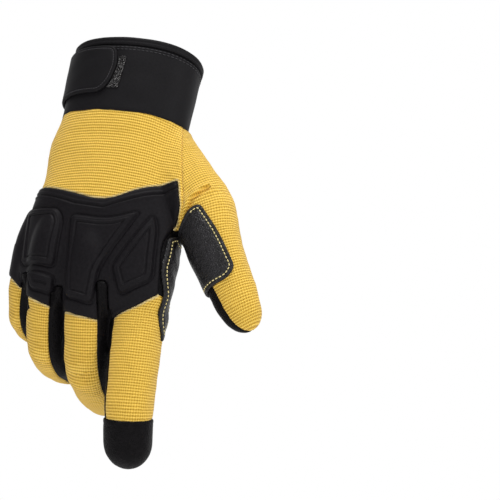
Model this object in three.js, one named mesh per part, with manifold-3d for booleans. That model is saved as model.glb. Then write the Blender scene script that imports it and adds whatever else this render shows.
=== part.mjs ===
// Right-hand safety glove: knit back, moulded knuckle pad, synthetic leather palm, neoprene cuff.
// Millimetres. The origin is the centre of the cuff's opening and +Z runs up the forearm, so the
// fingers point to -Z. The back of the hand faces -Y and the thumb is on the +X side.
// The glove holds the form of a pointing hand: the index finger is out, the others are curled.
import * as THREE from "three";
import { mergeVertices } from "three/addons/utils/BufferGeometryUtils.js";
import Module from "manifold-3d";

const wasm = await Module();
wasm.setup();

// Driving sizes
const handLength = 150;
const palmWidth = 92;
const palmDepth = 34;
const wall = 1.8;
const seamGap = 0.3;
const cuffHeight = 44;
const cuffWidth = 75;
const cuffDepth = 52;
const wristWidth = 73;
const wristDepth = 45;
const cuffWall = 2.6;
const cuffStep = 0.6;
const cuffSquare = 2.2;
const fingerSquare = 2.2;
const hemHeight = 4.6;
const hemStep = 0.4;
const strapWidth = 29;
const strapLength = 46;
const strapThick = 1.8;
const strapEnd = -2;
const loopWidth = 4.4;
const loopThick = 0.7;
const padRise = 1.2;
const cellRise = 1;
const tabRise = 1.6;
const patchThick = 1.4;
const tipCapLength = 33;
const tipCapRise = 0.7;
const tipCapSlope = 20;
const sideSeam = 2;

// Mesh fineness
const fingerSides = 10;
const palmSides = 20;
const ringStep = 15;
const tipAngles = [0, 32, 58, 80];
const wedgeSteps = 5;
const cornerSteps = 2;
const cornerRoom = 0.45;
const sharpest = 0.35;
const curveSteps = 600;

const rad = Math.PI / 180;
const reach = 120;
const overlap = 0.5;
const handSize = { across: palmWidth, down: handLength };
const sideSize = { across: palmDepth, down: handLength };

// Palm sections: x, half width as shares of the palm's width, y and depths of its depth, z of the
// hand's length; square is the exponent of the superellipse, slope and arch are the angles in
// degrees by which the section drops on the thumb's side and comes forward on the far side
const palmSections = [
  { x: 0, y: 0.03, z: 0.4, half: 0.418, back: 0.59, front: 0.65, square: 2.2, slope: 0, arch: 0 },
  { x: 0.002, y: 0.06, z: 0.533, half: 0.44, back: 0.56, front: 0.62, square: 2.3, slope: 0, arch: 0 },
  { x: 0, y: 0.06, z: 0.667, half: 0.48, back: 0.53, front: 0.56, square: 2.4, slope: 1, arch: 0 },
  { x: 0.01, y: 0.09, z: 0.8, half: 0.487, back: 0.5, front: 0.5, square: 2.4, slope: 3, arch: 2 },
  { x: 0.008, y: 0.15, z: 0.92, half: 0.492, back: 0.46, front: 0.44, square: 2.3, slope: 5, arch: 4 },
  { x: -0.005, y: 0.21, z: 0.98, half: 0.465, back: 0.35, front: 0.37, square: 2.2, slope: 6, arch: 6 },
  { x: -0.01, y: 0.27, z: 1.02, half: 0.41, back: 0.16, front: 0.22, square: 2.1, slope: 6, arch: 6 },
];

// Fingers: knuckle x, y, z as shares of the palm's width, depth and the hand's length; lean towards
// the thumb and bend at the three joints in degrees; length past the knuckle and width; bones as
// shares of the length; half widths at the root, the joints and the tip, and the round tip, as
// shares of the width; deep is depth to width
const fingers = {
  index: {
    x: 0.329, y: 0.147, z: 0.855, lean: 2.3, bend: [8, 6, 18], length: 104.5, width: 25,
    bone: [0.45, 0.297, 0.253], half: [0.48, 0.52, 0.504, 0.468, 0.44], tip: 0.48, deep: 0.88,
  },
  middle: {
    x: 0.063, y: -0.1, z: 0.872, lean: -1.7, bend: [27, 47, 24], length: 108, width: 23.5,
    bone: [0.472, 0.278, 0.25], half: [0.468, 0.51, 0.51, 0.468, 0.447], tip: 0.51, deep: 0.9,
  },
  ring: {
    x: -0.191, y: -0.088, z: 0.835, lean: -5.3, bend: [31, 54, 24], length: 106, width: 22.5,
    bone: [0.472, 0.274, 0.254], half: [0.467, 0.51, 0.49, 0.467, 0.445], tip: 0.49, deep: 0.9,
  },
  little: {
    x: -0.383, y: 0.197, z: 0.793, lean: -7.1, bend: [28, 55, 26], length: 80, width: 20.5,
    bone: [0.45, 0.2875, 0.2625], half: [0.463, 0.512, 0.488, 0.468, 0.44], tip: 0.49, deep: 0.9,
  },
};

// The thumb: as a finger, with two more places that its root passes through
const thumb = {
  roots: [{ x: 0.163, y: 0.09, z: 0.16 }, { x: 0.22, y: 0.12, z: 0.333 }],
  x: 0.61, y: 0.015, z: 0.61, lean: 28.7, bend: [0, 8, 6], length: 71, width: 35,
  bone: [0.278, 0.444, 0.278], half: [0.54, 0.57, 0.5, 0.43, 0.4, 0.357], tip: 0.37, deep: 0.82,
};

// Seams round each finger in degrees: 0 is the thumb's side, 90 the back, 180 the far side
const backPanels = {
  index: { from: -10, to: 175 },
  middle: { from: 15, to: 175 },
  ring: { from: 15, to: 175 },
  little: { from: 15, to: 188 },
};
const farSidePanel = { from: 158, to: 210 };
const nearSidePanel = { from: -25, to: 30 };
const thumbPanel = { from: -80, to: 160 };

// Where the side walls start, as a share of the finger's length, and how far from the tip they and
// the back panels end, as shares of the round tip
const sideWallStart = 0.42;
const sideWallEnd = 0.85;
const backEnd = 0.4;

// How far a finger's root lies inside the palm, as a share of its length
const rootShare = 0.25;

// The lowest edges of the hand's back panel and of the thumb's panel beside the palm, and where the
// patches on the palm, in the thumb's crook and on the index finger's side begin and end: shares of
// the hand's length, the palm's depth and the palm's width
const handBackFoot = 0.7;
const thumbBackFoot = 0.56;
const palmPatchFrom = 0.15;
const thumbPatchTo = 0.24;
const sidePatchFrom = 0.3;
const sidePatchTo = 0.6;

// Outlines seen from the back: x as a share of the palm's width, z of the hand's length, and the
// corner's rounding as a share of the palm's width
const padOutline = [
  { x: -0.65, z: 0.553, round: 0 },
  { x: -0.38, z: 0.587, round: 0.1 },
  { x: 0.06, z: 0.645, round: 0.12 },
  { x: 0.27, z: 0.572, round: 0.1 },
  { x: 0.458, z: 0.532, round: 0.01 },
  { x: 0.505, z: 0.64, round: 0.05 },
  { x: 0.425, z: 0.755, round: 0.08 },
  { x: 0.457, z: 0.947, round: 0.01 },
  { x: 0.337, z: 1.0, round: 0.05 },
  { x: 0.17, z: 1.047, round: 0.02 },
  { x: 0.12, z: 1.057, round: 0.02 },
  { x: 0.02, z: 1.055, round: 0.05 },
  { x: -0.13, z: 1.03, round: 0.02 },
  { x: -0.26, z: 1.012, round: 0.05 },
  { x: -0.35, z: 0.987, round: 0.02 },
  { x: -0.65, z: 0.933, round: 0 },
];
const padCells = {
  left: [
    { x: -0.4, z: 0.68, round: 0.03 },
    { x: -0.22, z: 0.685, round: 0.04 },
    { x: -0.18, z: 0.725, round: 0.04 },
    { x: -0.18, z: 0.893, round: 0.03 },
    { x: -0.37, z: 0.88, round: 0.03 },
  ],
  small: [
    { x: -0.335, z: 0.913, round: 0.02 },
    { x: -0.175, z: 0.93, round: 0.02 },
    { x: -0.18, z: 0.98, round: 0.02 },
    { x: -0.3, z: 0.967, round: 0.02 },
  ],
  centre: [
    { x: -0.12, z: 0.705, round: 0.03 },
    { x: 0.11, z: 0.713, round: 0.1 },
    { x: 0.275, z: 0.67, round: 0.03 },
    { x: 0.1, z: 0.893, round: 0.04 },
    { x: 0.087, z: 1.01, round: 0.03 },
    { x: -0.07, z: 0.99, round: 0.03 },
    { x: -0.095, z: 0.85, round: 0.1 },
  ],
  right: [
    { x: 0.355, z: 0.672, round: 0.05 },
    { x: 0.185, z: 0.88, round: 0.03 },
    { x: 0.25, z: 0.965, round: 0.03 },
    { x: 0.41, z: 0.905, round: 0.04 },
    { x: 0.385, z: 0.72, round: 0.08 },
  ],
};
const thumbOutline = [
  { x: 0.36, z: 0.2, round: 0 },
  { x: 0.52, z: 0.62, round: 0 },
  { x: 0.5, z: 1.3, round: 0 },
  { x: 1.3, z: 1.3, round: 0 },
  { x: 1.3, z: 0.2, round: 0 },
];
const thumbPatchOutline = [
  { x: 0.5, z: 0.72, round: 0.01 },
  { x: 0.56, z: 0.64, round: 0.04 },
  { x: 0.62, z: 0.615, round: 0.04 },
  { x: 0.75, z: 0.705, round: 0.1 },
  { x: 0.875, z: 0.825, round: 0.06 },
  { x: 0.845, z: 0.868, round: 0.04 },
  { x: 0.73, z: 0.91, round: 0.02 },
  { x: 0.65, z: 0.92, round: 0.01 },
];

// Outline of the padded patch seen from the palm, in the same shares
const palmPatchOutline = [
  { x: 0.44, z: 0.985, round: 0.03 },
  { x: 0.33, z: 1.0, round: 0.04 },
  { x: 0.25, z: 0.95, round: 0.05 },
  { x: 0.15, z: 0.995, round: 0.05 },
  { x: 0.07, z: 0.995, round: 0.05 },
  { x: 0, z: 0.95, round: 0.05 },
  { x: -0.09, z: 0.99, round: 0.06 },
  { x: -0.16, z: 0.97, round: 0.05 },
  { x: -0.24, z: 0.905, round: 0.05 },
  { x: -0.34, z: 0.96, round: 0.06 },
  { x: -0.41, z: 0.91, round: 0.05 },
  { x: -0.405, z: 0.725, round: 0.02 },
  { x: -0.28, z: 0.68, round: 0.03 },
  { x: -0.385, z: 0.61, round: 0.04 },
  { x: -0.385, z: 0.5, round: 0.1 },
  { x: -0.33, z: 0.355, round: 0.05 },
  { x: -0.21, z: 0.35, round: 0.05 },
  { x: 0.06, z: 0.53, round: 0.02 },
  { x: 0.015, z: 0.4, round: 0.02 },
  { x: 0.27, z: 0.45, round: 0.04 },
  { x: 0.325, z: 0.61, round: 0.1 },
  { x: 0.38, z: 0.7, round: 0.02 },
  { x: 0.3, z: 0.722, round: 0.05 },
  { x: -0.095, z: 0.61, round: 0.02 },
  { x: -0.09, z: 0.65, round: 0.03 },
  { x: 0.2, z: 0.755, round: 0.1 },
  { x: 0.42, z: 0.785, round: 0.02 },
];

// Outline of the patch on the index finger's side seen from the thumb: y of the palm's depth
const sidePatchOutline = [
  { y: 0.12, z: 0.69, round: 0.06 },
  { y: -0.2, z: 0.74, round: 0.06 },
  { y: -0.21, z: 0.86, round: 0.1 },
  { y: 0.05, z: 1.02, round: 0.1 },
  { y: 0.26, z: 1.09, round: 0.03 },
  { y: 0.4, z: 1.03, round: 0.05 },
  { y: 0.38, z: 0.75, round: 0.06 },
];

// Tabs of the side walls between the fingers where they lie over the knuckle pad
const tabs = {
  index_middle: [
    { x: 0.112, z: 0.938, round: 0.02 },
    { x: 0.168, z: 0.938, round: 0.02 },
    { x: 0.185, z: 1.07, round: 0 },
    { x: 0.12, z: 1.08, round: 0 },
  ],
  middle_ring: [
    { x: -0.165, z: 0.952, round: 0.02 },
    { x: -0.112, z: 0.952, round: 0.02 },
    { x: -0.115, z: 1.055, round: 0 },
    { x: -0.178, z: 1.055, round: 0 },
  ],
  ring_little: [
    { x: -0.405, z: 0.905, round: 0.02 },
    { x: -0.36, z: 0.905, round: 0.02 },
    { x: -0.345, z: 1.015, round: 0 },
    { x: -0.43, z: 1.015, round: 0 },
  ],
};

// The cuff's closing strap and the loop strip beside its end, as shares of their own length and width
const strapOutline = [
  { x: -1, z: 0, round: 0 },
  { x: -0.05, z: 0.04, round: 0.1 },
  { x: 0, z: 0.4, round: 0.2 },
  { x: -0.06, z: 0.8, round: 0.15 },
  { x: -0.17, z: 1, round: 0.15 },
  { x: -1, z: 1, round: 0 },
];
const loopOutline = [
  { x: -1, z: 0.2, round: 0.2 },
  { x: 1.2, z: 0.2, round: 0.2 },
  { x: 0.7, z: 0.84, round: 0.2 },
  { x: -1, z: 0.84, round: 0.2 },
];

// The webs between the finger roots: x from low to high as shares of the palm's width, z from top
// to foot of the hand's length, y from the side seam to deep as a share of the palm's depth
const webs = {
  index_middle: { low: 0.167, high: 0.21, top: 0.98, foot: 1.08, deep: 0.4 },
  middle_ring: { low: -0.11, high: -0.06, top: 0.98, foot: 1.08, deep: 0.45 },
  ring_little: { low: -0.47, high: -0.3, top: 0.88, foot: 1.03, deep: 0.62 },
};

// A closed body through rings of points, with a fan over each end from the ring's first point
// or from its middle
function skin(rings, fromFirst = false) {
  const sides = rings[0].length;
  const vertices = rings.flat().flatMap((p) => [p.x, p.y, p.z]);
  const triangles = [];
  for (let k = 0; k < rings.length - 1; k += 1) {
    for (let i = 0; i < sides; i += 1) {
      const a = k * sides + i;
      const b = k * sides + ((i + 1) % sides);
      triangles.push(a, b, a + sides, b, b + sides, a + sides);
    }
  }
  const last = (rings.length - 1) * sides;
  if (fromFirst) {
    for (let i = 1; i < sides - 1; i += 1) {
      triangles.push(0, i + 1, i, last, last + i, last + i + 1);
    }
  } else {
    const hub = vertices.length / 3;
    for (const ring of [rings[0], rings.at(-1)]) {
      const middle = ring.reduce((sum, p) => sum.add(p), new THREE.Vector3()).divideScalar(sides);
      vertices.push(middle.x, middle.y, middle.z);
    }
    for (let i = 0; i < sides; i += 1) {
      const j = (i + 1) % sides;
      triangles.push(hub, j, i, hub + 1, last + i, last + j);
    }
  }
  return new wasm.Manifold(new wasm.Mesh({
    numProp: 3,
    vertProperties: new Float32Array(vertices),
    triVerts: new Uint32Array(triangles),
  }));
}

// A solid from a closed three.js geometry
function solidOf(geometry) {
  geometry.deleteAttribute("normal");
  geometry.deleteAttribute("uv");
  const merged = mergeVertices(geometry.index ? geometry.toNonIndexed() : geometry, 1e-4);
  return new wasm.Manifold(new wasm.Mesh({
    numProp: 3,
    vertProperties: new Float32Array(merged.attributes.position.array),
    triVerts: new Uint32Array(merged.index.array),
  }));
}

// A round section: across points to the thumb's side, up to the back of the hand
function section(at, sides) {
  const points = [];
  for (let i = 0; i < sides; i += 1) {
    const angle = (i / sides) * 2 * Math.PI;
    const c = Math.cos(angle);
    const s = Math.sin(angle);
    const x = at.half * Math.sign(c) * Math.abs(c) ** (2 / at.square);
    const y = (s > 0 ? at.back : at.front) * Math.sign(s) * Math.abs(s) ** (2 / at.square);
    points.push(at.centre.clone().addScaledVector(at.across, x).addScaledVector(at.up, y));
  }
  return points;
}

// A section of the cuff, square to Z
function cuffLevel(z, grow) {
  const t = -z / cuffHeight;
  const depth = THREE.MathUtils.lerp(cuffDepth, wristDepth, t) / 2 + grow;
  return section({
    centre: new THREE.Vector3(0, t, z),
    across: new THREE.Vector3(1, 0, 0),
    up: new THREE.Vector3(0, -1, 0),
    half: THREE.MathUtils.lerp(cuffWidth, wristWidth, t) / 2 + grow,
    back: depth,
    front: depth,
    square: cuffSquare,
  }, palmSides);
}

function palmLevel(row, grow) {
  const tangent = Math.tan(row.slope * rad);
  return section({
    centre: place(row),
    across: new THREE.Vector3(1, -Math.tan(row.arch * rad), -tangent).normalize(),
    up: new THREE.Vector3(0, -1, 0),
    half: row.half * palmWidth + grow,
    back: row.back * palmDepth + grow,
    front: row.front * palmDepth + grow,
    square: row.square,
  }, palmSides);
}

function cuffBody(top, bottom, grow) {
  const middle = (top + bottom) / 2;
  return skin([cuffLevel(top, grow), cuffLevel(middle, grow), cuffLevel(bottom, grow)]);
}

// The palm from inside the cuff to the finger roots
function palmBody(grow) {
  const levels = [2 * cuffWall - cuffHeight, -cuffHeight - cuffWall];
  const wristLevels = levels.map((z) => cuffLevel(z, grow - cuffStep));
  return skin([...wristLevels, ...palmSections.map((row) => palmLevel(row, grow))]);
}

function place(row) {
  return new THREE.Vector3(row.x * palmWidth, row.y * palmDepth, -row.z * handLength);
}

// Stations along a finger or the thumb, from inside the palm to the end of its round tip
function stations(finger, grow) {
  const lean = finger.lean * rad;
  const straight = new THREE.Vector3(Math.sin(lean), 0, -Math.cos(lean));
  const across = new THREE.Vector3(Math.cos(lean), 0, Math.sin(lean));
  const up = new THREE.Vector3().crossVectors(straight, across);
  const knuckle = place(finger);
  const joints = finger.roots
    ? finger.roots.map(place)
    : [knuckle.clone().addScaledVector(straight, -finger.length * rootShare)];
  joints.push(knuckle);
  let turn = 0;
  finger.bend.forEach((bend, k) => {
    turn += bend * rad;
    const along = straight.clone().multiplyScalar(Math.cos(turn)).addScaledVector(up, -Math.sin(turn));
    joints.push(joints.at(-1).clone().addScaledVector(along, finger.bone[k] * finger.length));
  });
  const curve = new THREE.CatmullRomCurve3(joints, false, "centripetal");
  curve.arcLengthDivisions = curveSteps;
  const total = curve.getLength();
  const marks = [0];
  for (let k = 1; k < joints.length; k += 1) {
    marks.push(marks[k - 1] + joints[k].distanceTo(joints[k - 1]));
  }
  const round = finger.tip * finger.width;
  const count = Math.round((total - round) / ringStep);
  const places = [];
  for (let k = 0; k < count; k += 1) {
    places.push({ s: ((total - round) * k) / count, share: 1 });
  }
  for (const angle of tipAngles) {
    places.push({
      s: total - round + (round + grow) * Math.sin(angle * rad),
      share: Math.cos(angle * rad),
    });
  }
  return places.map(({ s, share }) => {
    const u = Math.min(s / total, 1);
    const tangent = curve.getTangentAt(u);
    const mark = u * marks.at(-1);
    const k = Math.min(Math.max(marks.findIndex((m) => m >= mark), 1), marks.length - 1);
    const t = (mark - marks[k - 1]) / (marks[k] - marks[k - 1]);
    const half = THREE.MathUtils.lerp(finger.half[k - 1], finger.half[k], t) * finger.width;
    const side = across.clone().addScaledVector(tangent, -across.dot(tangent)).normalize();
    return {
      centre: curve.getPointAt(u).addScaledVector(tangent, Math.max(s - total, 0)),
      across: side,
      up: new THREE.Vector3().crossVectors(tangent, side),
      tangent,
      s,
      total,
      half: (half + grow) * share,
      back: (half * finger.deep + grow) * share,
      front: (half * finger.deep + grow) * share,
      square: fingerSquare,
    };
  });
}

function fingerBody(finger, grow) {
  return skin(stations(finger, grow).map((at) => section(at, fingerSides)));
}

// The whole hand's body, grown or shrunk evenly
const bodies = new Map();
function hand(grow) {
  if (!bodies.has(grow)) {
    let body = palmBody(grow);
    for (const finger of [...Object.values(fingers), thumb]) {
      body = body.add(fingerBody(finger, grow));
    }
    bodies.set(grow, body);
  }
  return bodies.get(grow);
}

// The space round a finger between two angles, past a distance along it
function wedge(finger, panel, start, end, gap) {
  const spread = ((panel.to - panel.from) / 2) * rad;
  const turned = ((panel.to + panel.from) / 2) * rad;
  const reached = stations(finger, finger.width / 4)
    .filter((at) => at.s >= start && at.total - at.s >= end);
  const rings = reached.map((at) => {
    const toward = (angle) => at.across.clone().multiplyScalar(Math.cos(angle))
      .addScaledVector(at.up, Math.sin(angle));
    const apex = at.centre.clone().addScaledVector(toward(turned), -gap / Math.sin(spread));
    const ring = [apex];
    for (let k = 0; k <= wedgeSteps; k += 1) {
      const angle = turned - spread + (2 * spread * k) / wedgeSteps;
      ring.push(apex.clone().addScaledVector(toward(angle), at.half + finger.width / 2));
    }
    return ring;
  });
  return skin(rings, true);
}

// An outline with rounded corners, moved outwards by gap, as points in its own plane
function roundOutline(rows, size, gap) {
  const corners = rows.map((row) => new THREE.Vector2(
    (size.start ?? 0) + ("y" in row ? row.y : row.x) * size.across,
    (size.top ?? 0) - row.z * size.down,
  ));
  const count = corners.length;
  const near = (list, i) => [list[(i + count - 1) % count], list[(i + 1) % count]];
  const turn = THREE.ShapeUtils.isClockWise(corners) ? -1 : 1;
  const moved = corners.map((corner, i) => {
    const [before, after] = near(corners, i);
    const incoming = corner.clone().sub(before).normalize();
    const leaving = after.clone().sub(corner).normalize();
    const out = new THREE.Vector2(incoming.y + leaving.y, -incoming.x - leaving.x).normalize();
    const spread = Math.max(out.x * incoming.y - out.y * incoming.x, sharpest);
    return corner.clone().addScaledVector(out, (turn * gap) / spread);
  });
  return moved.flatMap((corner, i) => {
    const [before, after] = near(moved, i);
    const room = Math.min(corner.distanceTo(before), corner.distanceTo(after)) * cornerRoom;
    const round = Math.min(rows[i].round * size.across, room);
    if (round < seamGap) {
      return [corner];
    }
    const from = corner.clone().lerp(before, round / corner.distanceTo(before));
    const to = corner.clone().lerp(after, round / corner.distanceTo(after));
    return new THREE.QuadraticBezierCurve(from, corner, to).getPoints(cornerSteps);
  });
}

// An outline seen from the back or the palm, carried through from one y to another
function prism(rows, gap, low, high, size = handSize) {
  const shape = new THREE.Shape(roundOutline(rows, size, gap));
  const geometry = new THREE.ExtrudeGeometry(shape, { depth: high - low, bevelEnabled: false });
  geometry.rotateX(Math.PI / 2);
  geometry.translate(0, high, 0);
  return solidOf(geometry);
}

// An outline seen from the thumb's side, carried through from one x to another
function sidePrism(rows, gap, low, high) {
  const shape = new THREE.Shape(roundOutline(rows, sideSize, gap));
  const geometry = new THREE.ExtrudeGeometry(shape, { depth: high - low, bevelEnabled: false });
  geometry.rotateX(Math.PI / 2);
  geometry.rotateZ(Math.PI / 2);
  geometry.translate(low, 0, 0);
  return solidOf(geometry);
}

function box(lowX, highX, lowY, highY, lowZ, highZ) {
  const geometry = new THREE.BoxGeometry(highX - lowX, highY - lowY, highZ - lowZ);
  geometry.translate((lowX + highX) / 2, (lowY + highY) / 2, (lowZ + highZ) / 2);
  return solidOf(geometry);
}

// A layer over the hand between two heights above its surface, open at the wrist
const wrist = -cuffHeight - seamGap;
const belowCuff = box(-reach, reach, -reach, reach, -2 * handLength, wrist);
function layer(low, high) {
  return hand(high).subtract(hand(low)).intersect(belowCuff);
}

// Where each panel lies; gap grows the space, to cut its neighbours clear of the panel
function own(finger, gap) {
  return fingerBody(finger, overlap + gap);
}

function tipCapSpace(gap) {
  const at = stations(fingers.index, 0).at(-1);
  const geometry = new THREE.BoxGeometry(reach, reach, reach);
  geometry.translate(0, 0, gap - reach / 2);
  geometry.rotateX(tipCapSlope * rad);
  const towardRoot = at.tangent.clone().negate();
  const towardPalm = at.up.clone().negate();
  geometry.applyMatrix4(new THREE.Matrix4().makeBasis(at.across, towardPalm, towardRoot));
  const edge = at.centre.clone().addScaledVector(towardRoot, tipCapLength);
  geometry.translate(edge.x, edge.y, edge.z);
  return solidOf(geometry).intersect(fingerBody(fingers.index, tipCapRise + overlap + gap));
}

function sideWallSpace(near, far, gap) {
  const sides = [[fingers[near], farSidePanel], [fingers[far], nearSidePanel]];
  const walls = sides.map(([finger, panel]) => wedge(
    finger, panel, finger.length * sideWallStart, finger.width * finger.tip * sideWallEnd, gap,
  ).intersect(own(finger, gap)));
  const web = webs[`${near}_${far}`];
  const bridge = box(
    web.low * palmWidth - gap, web.high * palmWidth + gap, -sideSeam, web.deep * palmDepth + gap,
    -web.foot * handLength - gap, -web.top * handLength + gap,
  );
  return walls[0].add(walls[1]).add(bridge);
}

function tabSpace(name, gap) {
  return prism(tabs[name], gap, -reach, palmDepth / 4);
}

function padSpace(gap) {
  return prism(padOutline, gap, -reach, sideSeam + gap);
}

function fingerBackSpace(name, gap) {
  const finger = fingers[name];
  const end = finger.width * finger.tip * backEnd;
  return wedge(finger, backPanels[name], 0, end, gap).intersect(own(finger, gap));
}

function thumbBackSpace(gap) {
  const beside = prism(thumbOutline, gap, -reach, reach);
  const root = box(0, reach, -reach, reach, -thumbBackFoot * handLength, 0);
  return wedge(thumb, thumbPanel, 0, 0, gap).intersect(beside).intersect(own(thumb, gap).add(root));
}

function handBackSpace(gap) {
  return box(-reach, reach, -reach, sideSeam + gap, -handBackFoot * handLength, 0);
}

// Panels of the hand's wall; each takes its space less the spaces of those before it
const panels = [
  { name: "index_tip_cap", rise: tipCapRise, space: tipCapSpace },
  ...Object.keys(tabs).map((name) => ({
    name: `side_wall_${name}`,
    rise: 0,
    space: (gap) => sideWallSpace(...name.split("_"), gap),
    over: (gap) => tabSpace(name, gap),
  })),
  { name: "knuckle_pad", rise: padRise, space: padSpace },
  ...Object.keys(fingers).map((name) => ({
    name: `${name}_back`,
    rise: 0,
    space: (gap) => fingerBackSpace(name, gap),
  })),
  { name: "thumb_back", rise: 0, space: thumbBackSpace },
  { name: "hand_back", rise: 0, space: handBackSpace },
];

// The main solid of a cut, without the crumbs that a cut can leave beside it
function whole(body) {
  const pieces = body.decompose();
  const largest = Math.max(...pieces.map((piece) => piece.volume()));
  return pieces.find((piece) => piece.volume() === largest);
}

const solids = {};
const cleared = {};
let taken = null;
for (const panel of panels) {
  let body = layer(-wall, panel.rise).intersect(panel.space(0));
  let space = panel.space(seamGap);
  if (panel.over) {
    body = body.add(layer(-wall / 2, tabRise + padRise).intersect(panel.over(0)));
    space = space.add(panel.over(seamGap));
  }
  cleared[panel.name] = taken;
  solids[panel.name] = whole(taken ? body.subtract(taken) : body);
  taken = taken ? taken.add(space) : space;
}
for (const rows of Object.values(padCells)) {
  const cell = layer(-wall / 2, padRise + cellRise).intersect(prism(rows, 0, -reach, 0));
  solids.knuckle_pad = solids.knuckle_pad.add(cell.subtract(cleared.knuckle_pad));
}
solids.palm = whole(layer(-wall, 0).subtract(taken));

// Patches sewn over the palm, the thumb's crook and the side of the index finger
const patchLayer = layer(seamGap, seamGap + patchThick);
const raised = padSpace(seamGap).add(cleared.knuckle_pad);
function palmPatchSpace(gap) {
  return prism(palmPatchOutline, gap, palmDepth * palmPatchFrom, palmDepth);
}

function thumbPatchSpace(gap) {
  return prism(thumbPatchOutline, gap, -palmDepth, palmDepth * thumbPatchTo);
}

function sidePatchSpace() {
  return sidePrism(sidePatchOutline, 0, palmWidth * sidePatchFrom, palmWidth * sidePatchTo)
    .subtract(palmPatchSpace(seamGap))
    .subtract(thumbPatchSpace(seamGap));
}

solids.palm_patch = whole(patchLayer.intersect(palmPatchSpace(0)));
solids.thumb_patch = whole(patchLayer.intersect(thumbPatchSpace(0)).subtract(raised));
solids.side_patch = whole(patchLayer.intersect(sidePatchSpace()).subtract(raised));

// Cuff with its turned hem, closing strap and loop strip
const cuffTop = -hemHeight - seamGap;
solids.cuff = cuffBody(cuffTop, -cuffHeight, 0)
  .subtract(cuffBody(reach, -reach, -cuffWall));
solids.cuff_hem = cuffBody(0, -hemHeight, hemStep)
  .subtract(cuffBody(reach, -reach, -cuffWall - hemStep));

const strapSize = { across: strapLength, down: strapWidth, start: strapEnd, top: cuffTop - seamGap };
const loopSize = { across: loopWidth, down: strapWidth, start: strapEnd, top: strapSize.top };
function overCuff(height) {
  return cuffBody(0, -cuffHeight, seamGap + height).subtract(cuffBody(reach, -reach, seamGap));
}
solids.wrist_strap = overCuff(strapThick)
  .intersect(prism(strapOutline, 0, -reach, palmDepth / 4, strapSize));
solids.loop_strip = overCuff(loopThick).intersect(prism(loopOutline, 0, -reach, 0, loopSize))
  .subtract(prism(strapOutline, seamGap, -reach, 0, strapSize));

const finishes = {
  knit: { color: 0xe2b34c, roughness: 0.85, metalness: 0 },
  leather: { color: 0x242326, roughness: 0.6, metalness: 0 },
  pad: { color: 0x1d1c1f, roughness: 0.5, metalness: 0 },
  neoprene: { color: 0x1b1b1d, roughness: 0.55, metalness: 0 },
  loops: { color: 0x3a3a3c, roughness: 0.95, metalness: 0 },
};
const finishOf = {
  hand_back: "knit", thumb_back: "knit", index_back: "knit", middle_back: "knit", ring_back: "knit",
  little_back: "knit", knuckle_pad: "pad", index_tip_cap: "leather", palm: "leather",
  palm_patch: "leather", thumb_patch: "leather", side_patch: "leather", cuff: "neoprene",
  cuff_hem: "neoprene", wrist_strap: "neoprene", loop_strip: "loops",
};

function meshOf(name) {
  const { vertProperties, triVerts } = solids[name].getMesh();
  const geometry = new THREE.BufferGeometry();
  geometry.setAttribute("position", new THREE.BufferAttribute(vertProperties, 3));
  geometry.setIndex(new THREE.BufferAttribute(triVerts, 1));
  const material = new THREE.MeshStandardMaterial(finishes[finishOf[name] ?? "leather"]);
  const mesh = new THREE.Mesh(geometry, material);
  mesh.name = name;
  return mesh;
}

const glove = new THREE.Group();
glove.add(...Object.keys(solids).map(meshOf));
export default glove;
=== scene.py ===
import math

import bpy
import numpy as np
from mathutils import Matrix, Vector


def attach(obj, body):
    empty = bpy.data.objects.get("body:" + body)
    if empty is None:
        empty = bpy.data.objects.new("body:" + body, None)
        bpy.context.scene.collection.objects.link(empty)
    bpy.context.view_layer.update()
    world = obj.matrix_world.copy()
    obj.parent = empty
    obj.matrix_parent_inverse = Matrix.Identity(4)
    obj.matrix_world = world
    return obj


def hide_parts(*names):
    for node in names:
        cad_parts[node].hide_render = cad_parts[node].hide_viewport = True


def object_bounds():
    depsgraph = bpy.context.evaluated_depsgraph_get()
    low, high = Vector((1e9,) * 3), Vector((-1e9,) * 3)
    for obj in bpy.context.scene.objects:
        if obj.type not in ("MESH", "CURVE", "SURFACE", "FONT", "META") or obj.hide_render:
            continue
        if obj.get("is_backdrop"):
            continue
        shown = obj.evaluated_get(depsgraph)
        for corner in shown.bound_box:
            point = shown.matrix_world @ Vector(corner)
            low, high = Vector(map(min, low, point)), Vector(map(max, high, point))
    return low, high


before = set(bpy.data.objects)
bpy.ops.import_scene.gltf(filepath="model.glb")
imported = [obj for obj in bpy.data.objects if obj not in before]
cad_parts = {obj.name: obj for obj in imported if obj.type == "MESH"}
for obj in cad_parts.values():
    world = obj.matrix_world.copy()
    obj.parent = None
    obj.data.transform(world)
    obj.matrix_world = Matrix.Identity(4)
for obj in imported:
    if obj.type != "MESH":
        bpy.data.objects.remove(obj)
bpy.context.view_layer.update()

# Sizes in millimetres, angles in degrees, in the row frame
palmWidth = 92
palmDepth = 34
handLength = 150
wallThick = 1.8
cuffHeight = 44
cuffWidth = 75
cuffDepth = 52
wristWidth = 73
wristDepth = 45
cuffWall = 2.6
hemHeight = 4.6
sideSeam = 2
squareness = 2.2
sampleStep = 1.2
roundSides = 64
curveSamples = 120
underCuff = 0.6  # how far the hand's skin reaches up into the cuff
voxelSize = 0.85
smoothTimes = 14

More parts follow.
